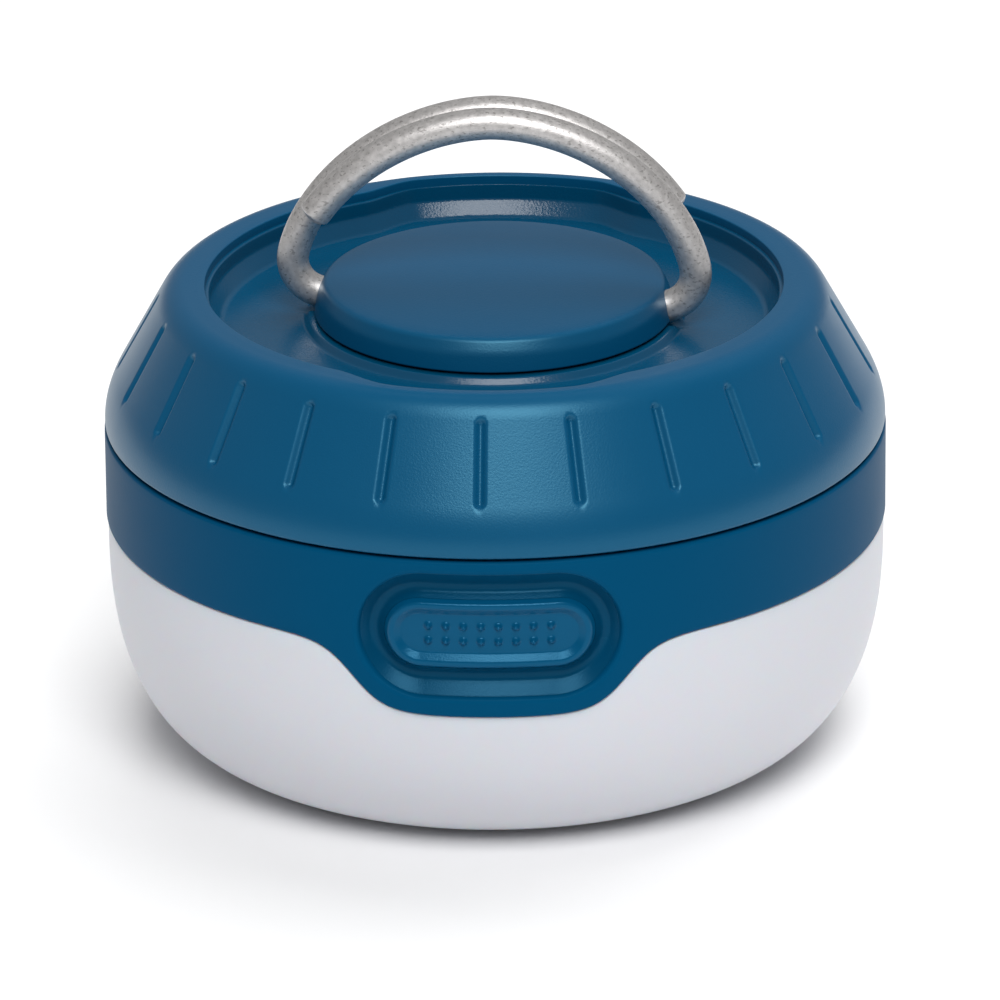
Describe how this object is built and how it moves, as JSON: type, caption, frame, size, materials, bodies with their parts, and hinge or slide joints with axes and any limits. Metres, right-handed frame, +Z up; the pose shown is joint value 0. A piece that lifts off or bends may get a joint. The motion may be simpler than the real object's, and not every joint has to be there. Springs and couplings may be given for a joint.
{
  "type": "compact camping lantern",
  "caption": "Compact camping lantern with a frosted bowl diffuser, a push-button band, a screw-off dished cap and folding wire hanging hooks.",
  "frame": {"origin": "centre of the flat base that the lantern stands on", "axes": "+Z up through the base, the cap and the hooks; the button faces -Y; +X is to the right of someone who faces the button"},
  "size_m": [0.0662, 0.0662, 0.0561],
  "materials": {
    "cap_blue": "matte moulded, soft touch",
    "dish_blue": "glossy moulded",
    "band_blue": "matte moulded, soft touch",
    "button_blue": "matte elastomer",
    "frosted_diffuser": "frosted translucent, satin outside",
    "white_plastic": "matte white reflector",
    "grey_plastic": "moulded, fine grain",
    "black_plastic": "moulded",
    "seal_rubber": "matte",
    "hook_steel": "bead-blasted stainless wire",
    "screw_steel": "zinc plated",
    "nickel_contact": "nickel plated",
    "cell_jacket": "plain foil sleeve",
    "circuit_board": "solder resist",
    "led_lens": "phosphor under clear resin",
    "red_sleeve": "wire insulation",
    "black_sleeve": "wire insulation"
  },
  "bodies": {
    "casing": {"diffuser": "frosted_diffuser", "band_shell": "band_blue", "button_boot": "band_blue", "switch_body": "black_plastic", "switch_board": "circuit_board", "lead_positive": "red_sleeve", "lead_negative": "black_sleeve", "battery_tray": "grey_plastic", "main_board": "circuit_board", "reflector_plate": "white_plastic", "led_1": "led_lens", "led_2": "led_lens", "led_3": "led_lens", "led_4": "led_lens", "board_screw_1": "screw_steel", "board_screw_2": "screw_steel", "board_screw_3": "screw_steel", "cell_1": "cell_jacket", "cell_2": "cell_jacket", "cell_3": "cell_jacket", "contact_spring_1": "nickel_contact", "contact_spring_2": "nickel_contact", "contact_spring_3": "nickel_contact", "contact_bridge_right": "nickel_contact", "contact_end_right": "nickel_contact", "contact_bridge_left": "nickel_contact", "contact_end_left": "nickel_contact"},
    "button": {"button_pad": "button_blue", "switch_plunger": "black_plastic"},
    "cap_carrier": {"cap_gasket": "seal_rubber"},
    "cap": {"cap_grip_ring": "cap_blue", "cap_dish": "dish_blue", "hub_disc": "cap_blue", "hub_screw_1": "screw_steel", "hub_screw_2": "screw_steel"},
    "hook_front": {"hook_front": "hook_steel"},
    "hook_rear": {"hook_rear": "hook_steel"}
  },
  "joints": [
    {"name": "button_press", "type": "slide", "parent": "casing", "child": "button", "axis": [0, 1, 0], "range_m": [0, 0.0006], "stiffness_N_per_m": 1500, "springref_m": -0.0003},
    {"name": "cap_lift", "type": "slide", "parent": "casing", "child": "cap_carrier", "axis": [0, 0, 1], "range_m": [0, 0.005]},
    {"name": "cap_twist", "type": "hinge", "parent": "cap_carrier", "child": "cap", "pos_m": [0, 0, 0.03], "axis": [0, 0, 1], "range_deg": [0, 225]},
    {"name": "hook_front_fold", "type": "hinge", "parent": "cap", "child": "hook_front", "pos_m": [-0.00003, -0.0015, 0.0385], "axis": [0.9997, -0.0227, 0], "range_deg": [0, 90]},
    {"name": "hook_rear_fold", "type": "hinge", "parent": "cap", "child": "hook_rear", "pos_m": [0.00003, 0.0015, 0.0385], "axis": [-0.9997, 0.0227, 0], "range_deg": [0, 90]}
  ],
  "couplings": [
    {"joint": "cap_lift", "follows": "cap_twist", "m_per_rad": 0.0012732}
  ]
}
